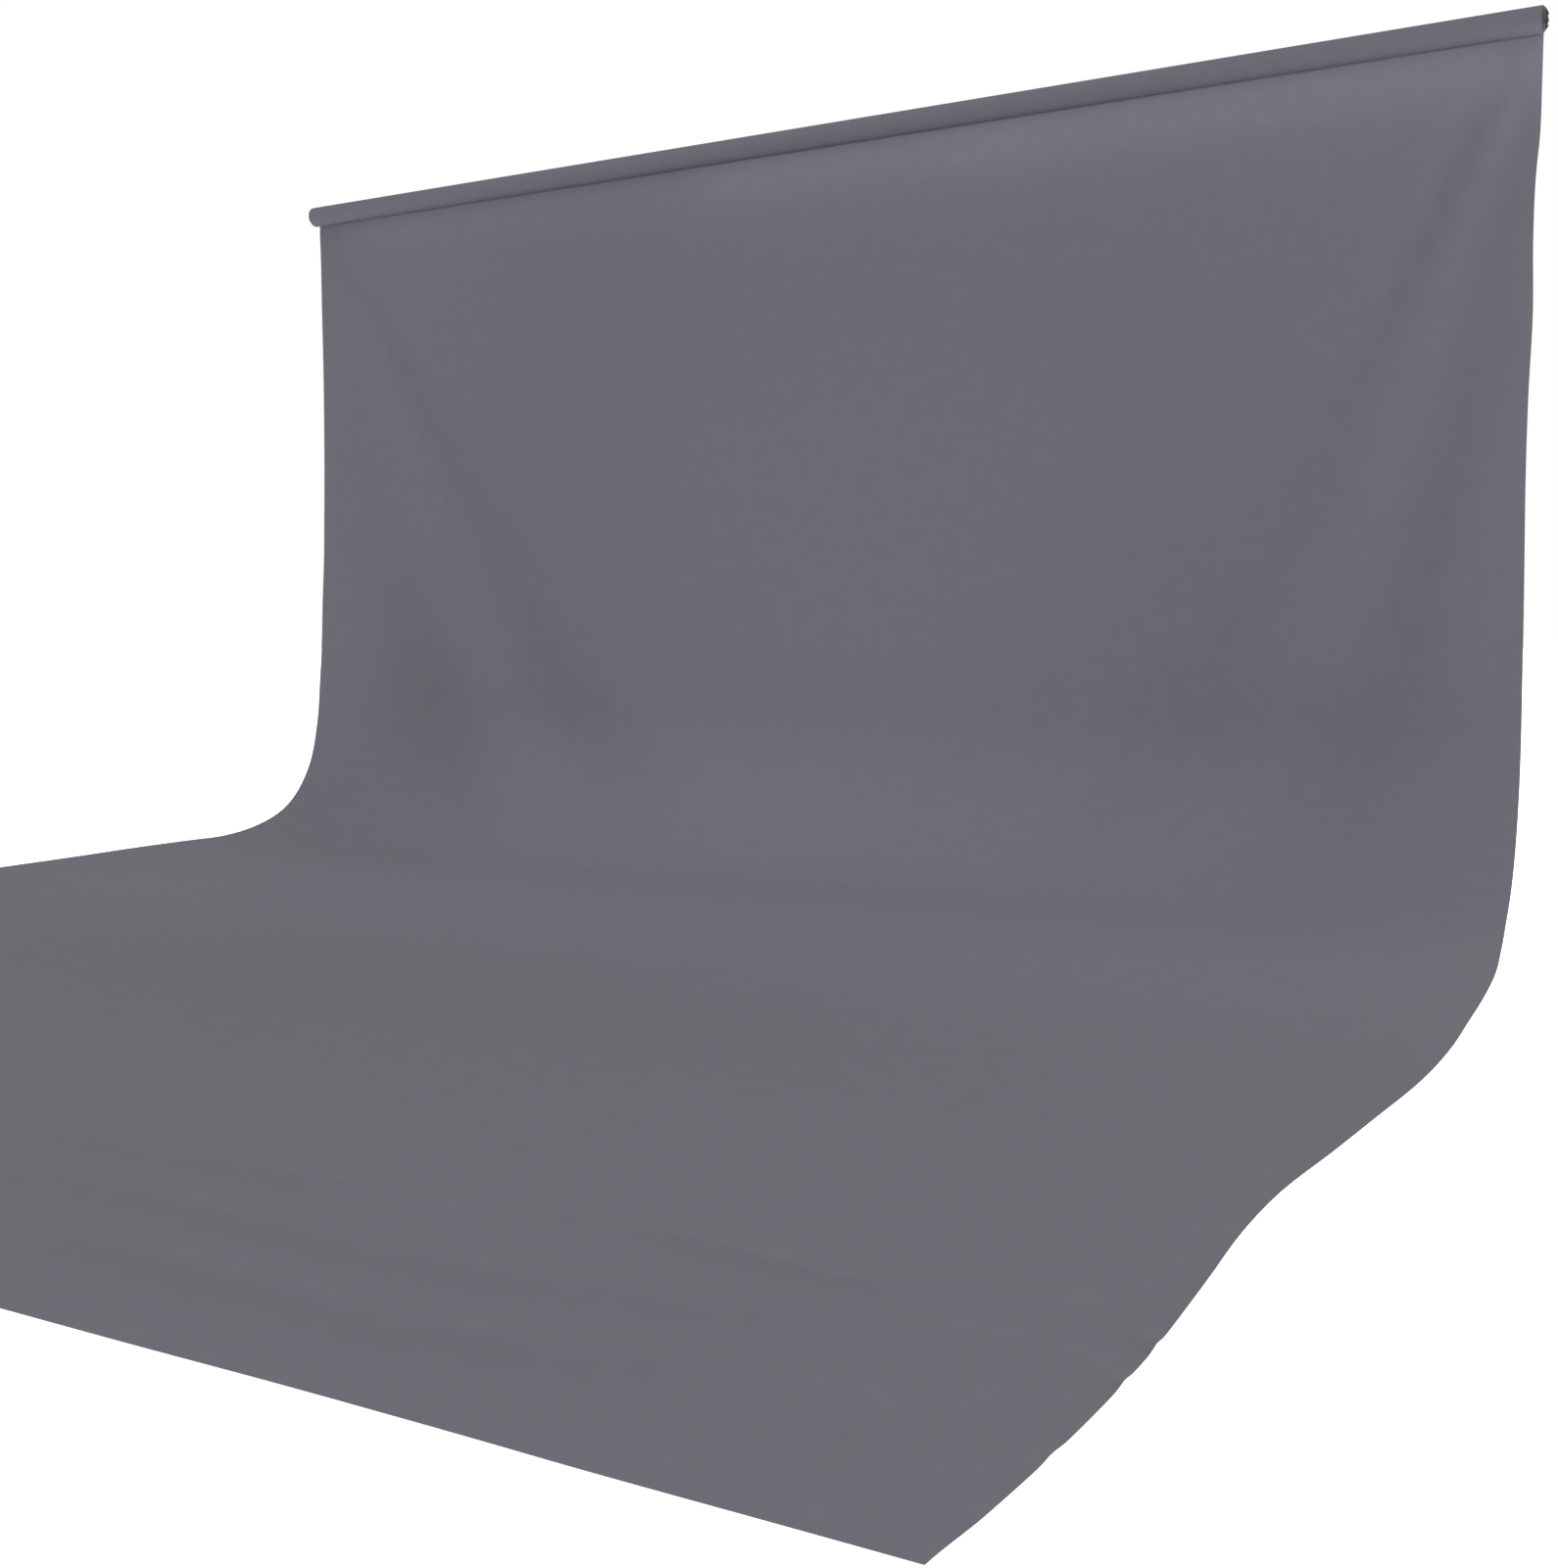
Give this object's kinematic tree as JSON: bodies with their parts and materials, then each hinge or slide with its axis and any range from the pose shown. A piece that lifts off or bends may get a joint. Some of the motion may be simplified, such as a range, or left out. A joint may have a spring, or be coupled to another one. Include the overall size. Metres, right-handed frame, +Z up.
{
  "type": "backdrop paper roll",
  "caption": "Wide roll of grey seamless backdrop paper on a core with expanding end plugs, its sheet hung down and swept forward over the floor.",
  "frame": {"origin": "centre of the left spigot socket, in the plane of the core's left end", "axes": "+X along the roll's axis to its right end, +Y back to the wall, +Z up; the apron runs forward, towards -Y"},
  "size_m": [3.5712, 3.2104, 1.9504],
  "materials": {
    "paper": "matte",
    "cardboard": "matte",
    "tape": "satin",
    "black_nylon": "matte",
    "knob_nylon": "satin",
    "bush_plastic": "satin",
    "cage_plastic": "satin",
    "rubber": "matte",
    "brass": "satin",
    "steel": "satin",
    "zinc_screw": "satin",
    "bearing_steel": "polished",
    "socket_tube": "satin"
  },
  "bodies": {
    "sheet_and_sockets": {"paper_sheet": "paper", "left_spigot_socket": "socket_tube", "left_spigot_stop": "steel", "left_socket_circlip": "steel", "left_bearing_inner_ring": "bearing_steel", "right_spigot_socket": "socket_tube", "right_spigot_stop": "steel", "right_socket_circlip": "steel", "right_bearing_inner_ring": "bearing_steel"},
    "roll": {"core_tube": "cardboard", "start_tapes": "tape", "wound_paper": "paper", "left_end_flange": "black_nylon", "left_flange_screws": "zinc_screw", "left_plug_barrel": "black_nylon", "left_garter_springs": "steel", "left_bearing_outer_ring": "bearing_steel", "right_end_flange": "black_nylon", "right_flange_screws": "zinc_screw", "right_plug_barrel": "black_nylon", "right_garter_springs": "steel", "right_bearing_outer_ring": "bearing_steel"},
    "left_knob": {"left_tension_knob": "knob_nylon", "left_draw_screw": "steel", "left_nose_bush": "bush_plastic"},
    "left_cone": {"left_spreader_cone": "brass"},
    "left_cage": {"left_bearing_cage": "cage_plastic", "left_bearing_balls": "bearing_steel"},
    "left_jaw_1": {"left_grip_jaw_1": "black_nylon", "left_jaw_pad_1": "rubber"},
    "left_jaw_2": {"left_grip_jaw_2": "black_nylon", "left_jaw_pad_2": "rubber"},
    "left_jaw_3": {"left_grip_jaw_3": "black_nylon", "left_jaw_pad_3": "rubber"},
    "right_knob": {"right_tension_knob": "knob_nylon", "right_draw_screw": "steel", "right_nose_bush": "bush_plastic"},
    "right_cone": {"right_spreader_cone": "brass"},
    "right_cage": {"right_bearing_cage": "cage_plastic", "right_bearing_balls": "bearing_steel"},
    "right_jaw_1": {"right_grip_jaw_1": "black_nylon", "right_jaw_pad_1": "rubber"},
    "right_jaw_2": {"right_grip_jaw_2": "black_nylon", "right_jaw_pad_2": "rubber"},
    "right_jaw_3": {"right_grip_jaw_3": "black_nylon", "right_jaw_pad_3": "rubber"}
  },
  "joints": [
    {"name": "roll_spin", "type": "hinge", "parent": "sheet_and_sockets", "child": "roll", "pos_m": [1.775, 0, 0], "axis": [1, 0, 0], "continuous": true},
    {"name": "left_knob_turn", "type": "hinge", "parent": "roll", "child": "left_knob", "pos_m": [0.005, 0, 0], "axis": [-1, 0, 0], "range_deg": [0, 540]},
    {"name": "left_cone_draw", "type": "slide", "parent": "roll", "child": "left_cone", "axis": [-1, 0, 0], "range_m": [-0.00751, 0]},
    {"name": "left_jaw_1_grip", "type": "slide", "parent": "roll", "child": "left_jaw_1", "axis": [0, 0.866, 0.5], "range_m": [-0.0016, 0]},
    {"name": "left_jaw_2_grip", "type": "slide", "parent": "roll", "child": "left_jaw_2", "axis": [0, 0, -1], "range_m": [-0.0016, 0]},
    {"name": "left_jaw_3_grip", "type": "slide", "parent": "roll", "child": "left_jaw_3", "axis": [0, -0.866, 0.5], "range_m": [-0.0016, 0]},
    {"name": "left_cage_orbit", "type": "hinge", "parent": "sheet_and_sockets", "child": "left_cage", "pos_m": [0.0695, 0, 0], "axis": [1, 0, 0], "continuous": true},
    {"name": "right_knob_turn", "type": "hinge", "parent": "roll", "child": "right_knob", "pos_m": [3.545, 0, 0], "axis": [1, 0, 0], "range_deg": [0, 540]},
    {"name": "right_cone_draw", "type": "slide", "parent": "roll", "child": "right_cone", "axis": [1, 0, 0], "range_m": [-0.00751, 0]},
    {"name": "right_jaw_1_grip", "type": "slide", "parent": "roll", "child": "right_jaw_1", "axis": [0, -0.866, 0.5], "range_m": [-0.0016, 0]},
    {"name": "right_jaw_2_grip", "type": "slide", "parent": "roll", "child": "right_jaw_2", "axis": [0, 0, -1], "range_m": [-0.0016, 0]},
    {"name": "right_jaw_3_grip", "type": "slide", "parent": "roll", "child": "right_jaw_3", "axis": [0, 0.866, 0.5], "range_m": [-0.0016, 0]},
    {"name": "right_cage_orbit", "type": "hinge", "parent": "sheet_and_sockets", "child": "right_cage", "pos_m": [3.4805, 0, 0], "axis": [1, 0, 0], "continuous": true}
  ],
  "couplings": [
    {"joint": "left_cone_draw", "follows": "left_knob_turn", "m_per_rad": -0.00079577},
    {"joint": "left_jaw_1_grip", "follows": "left_knob_turn", "m_per_rad": -0.00016915},
    {"joint": "left_jaw_2_grip", "follows": "left_knob_turn", "m_per_rad": -0.00016915},
    {"joint": "left_jaw_3_grip", "follows": "left_knob_turn", "m_per_rad": -0.00016915},
    {"joint": "left_cage_orbit", "follows": "roll_spin", "ratio": 0.56154},
    {"joint": "right_cone_draw", "follows": "right_knob_turn", "m_per_rad": -0.00079577},
    {"joint": "right_jaw_1_grip", "follows": "right_knob_turn", "m_per_rad": -0.00016915},
    {"joint": "right_jaw_2_grip", "follows": "right_knob_turn", "m_per_rad": -0.00016915},
    {"joint": "right_jaw_3_grip", "follows": "right_knob_turn", "m_per_rad": -0.00016915},
    {"joint": "right_cage_orbit", "follows": "roll_spin", "ratio": 0.56154}
  ]
}
